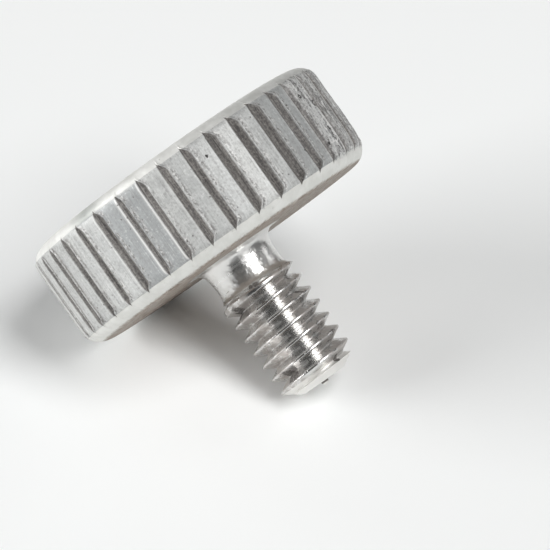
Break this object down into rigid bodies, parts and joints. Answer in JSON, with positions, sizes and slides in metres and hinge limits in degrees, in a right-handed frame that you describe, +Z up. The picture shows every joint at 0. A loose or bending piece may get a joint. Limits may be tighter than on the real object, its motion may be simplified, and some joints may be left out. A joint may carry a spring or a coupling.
{
  "type": "thumb screw",
  "caption": "Turned thumb screw with a thick grooved disc head, a hollowed neck and a short coarse thread with a chamfered end, for clamping a deflector by hand.",
  "frame": {"origin": "centre of the lying screw's footprint, on the surface it lies on", "axes": "+Z up; the screw's axis lies in the XZ plane, its thread sloping down towards +X to the surface, its head towards -X"},
  "size_m": [0.0291, 0.0302, 0.0285],
  "materials": {
    "bare_metal": "worn satin, polished on the neck and thread, stained on the seat and in the grooves"
  },
  "bodies": {
    "root": {"thumb_screw": "bare_metal"}
  },
  "joints": []
}
